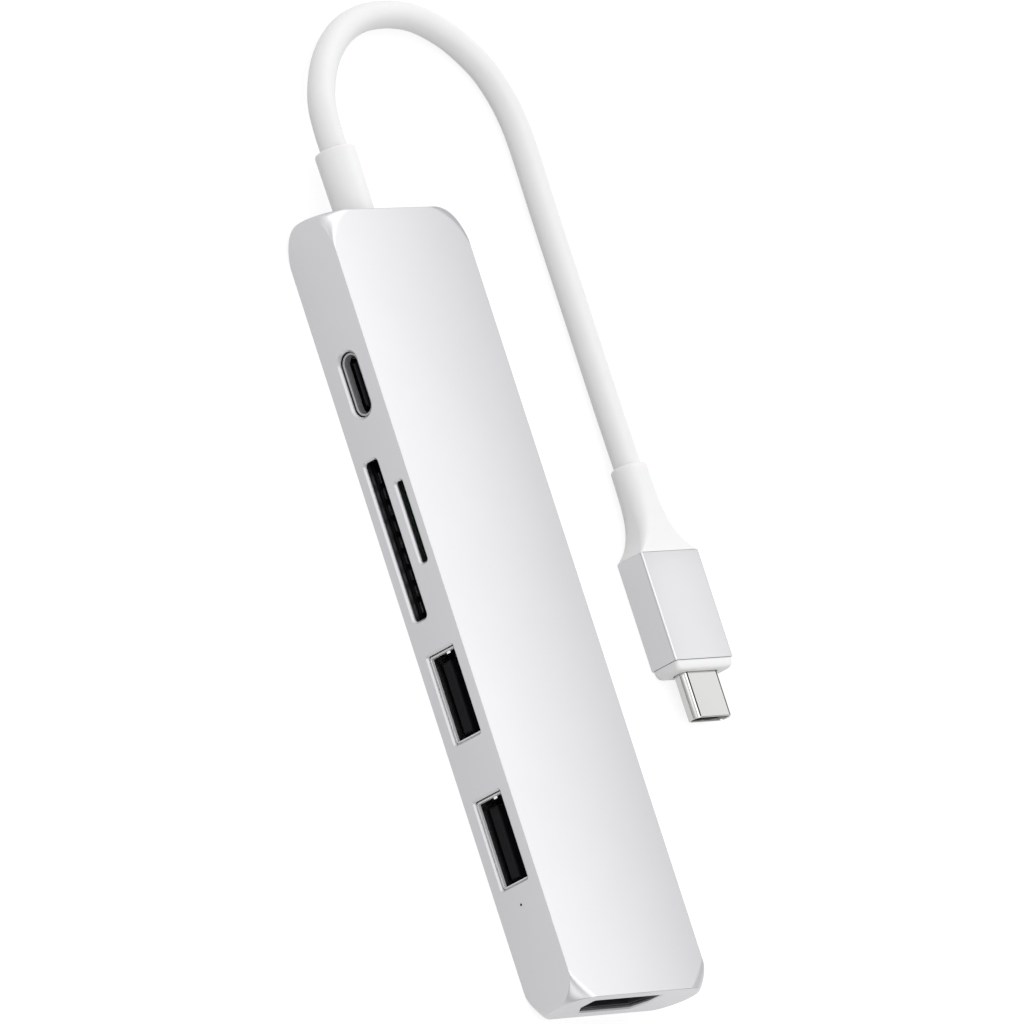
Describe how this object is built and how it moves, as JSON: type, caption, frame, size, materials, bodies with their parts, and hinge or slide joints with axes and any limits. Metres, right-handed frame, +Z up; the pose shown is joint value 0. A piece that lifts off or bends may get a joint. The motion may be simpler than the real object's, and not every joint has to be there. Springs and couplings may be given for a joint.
{
  "type": "usb hub",
  "caption": "Slim bar-shaped multiport hub with card slots, data ports and a video port, on a short captive cord with a reversible plug.",
  "frame": {"origin": "centre of the hub body's underside, which lies on the surface", "axes": "+Z up through the hub's top face, +Y along the hub towards the end the cord leaves, -X through the long face with the ports"},
  "size_m": [0.0618, 0.1561, 0.0092],
  "materials": {
    "housing": "satin anodised",
    "cover": "satin anodised",
    "steel": "bright drawn steel",
    "gold": "gold plated contact",
    "black_plastic": "moulded, matt",
    "package": "moulded chip package",
    "board": "solder resist",
    "white_plastic": "soft white moulding",
    "clear": "clear moulding",
    "tape": "foam adhesive",
    "pad": "soft heat pad",
    "ceramic": "ceramic body",
    "red_insulation": "wire insulation"
  },
  "bodies": {
    "hub": {"housing": "housing", "bottom_cover": "cover", "cover_adhesive_tape": "tape", "main_board": "board", "board_screw_1": "steel", "board_screw_2": "steel", "board_screw_3": "steel", "board_screw_4": "steel", "usb_c_port_shell": "steel", "usb_c_port_tongue": "black_plastic", "sd_socket_lid": "steel", "sd_socket_base": "black_plastic", "sd_socket_contacts": "steel", "microsd_socket_lid": "steel", "microsd_socket_base": "black_plastic", "microsd_socket_contacts": "gold", "usb_a_1_shell": "steel", "usb_a_1_tongue": "black_plastic", "usb_a_1_contacts": "gold", "usb_a_2_shell": "steel", "usb_a_2_tongue": "black_plastic", "usb_a_2_contacts": "gold", "hdmi_shell": "steel", "hdmi_tongue": "black_plastic", "hdmi_contacts": "gold", "light_pipe": "clear", "indicator_led": "white_plastic", "usb_controller_chip": "package", "video_converter_chip": "package", "video_shield_can": "steel", "power_controller_chip": "package", "card_reader_chip": "package", "flash_memory_chip": "package", "clock_crystal": "steel", "power_inductor": "package", "bulk_capacitor_1": "steel", "bulk_capacitor_2": "ceramic", "output_capacitor": "ceramic", "controller_heat_pad": "pad", "wire_header": "white_plastic", "power_wire": "red_insulation", "ground_wire": "black_plastic", "data_wire_1": "white_plastic", "data_wire_2": "white_plastic", "cord_clamp": "steel", "hub_strain_relief": "white_plastic", "cord": "white_plastic", "plug_strain_relief": "white_plastic", "plug_body": "housing", "plug_nose": "white_plastic", "plug_shell": "steel", "plug_insulator": "black_plastic", "plug_board": "board"},
    "sd_detect_arm": {"sd_detect_lever": "gold"},
    "sd_protect_arm": {"sd_protect_lever": "gold"},
    "microsd_detect_arm": {"microsd_detect_lever": "gold"}
  },
  "joints": [
    {"name": "sd_detect_hinge", "type": "hinge", "parent": "hub", "child": "sd_detect_arm", "pos_m": [-0.0035, 0.0233, 0.0031], "axis": [0, 0, 1], "range_deg": [0, 6], "stiffness_Nm_per_rad": 0.002},
    {"name": "sd_protect_hinge", "type": "hinge", "parent": "hub", "child": "sd_protect_arm", "pos_m": [-0.0035, 0.0005, 0.0031], "axis": [0, 0, -1], "range_deg": [0, 6], "stiffness_Nm_per_rad": 0.002},
    {"name": "microsd_detect_hinge", "type": "hinge", "parent": "hub", "child": "microsd_detect_arm", "pos_m": [-0.007, 0.01835, 0.007], "axis": [0, 0, 1], "range_deg": [0, 6], "stiffness_Nm_per_rad": 0.001}
  ]
}
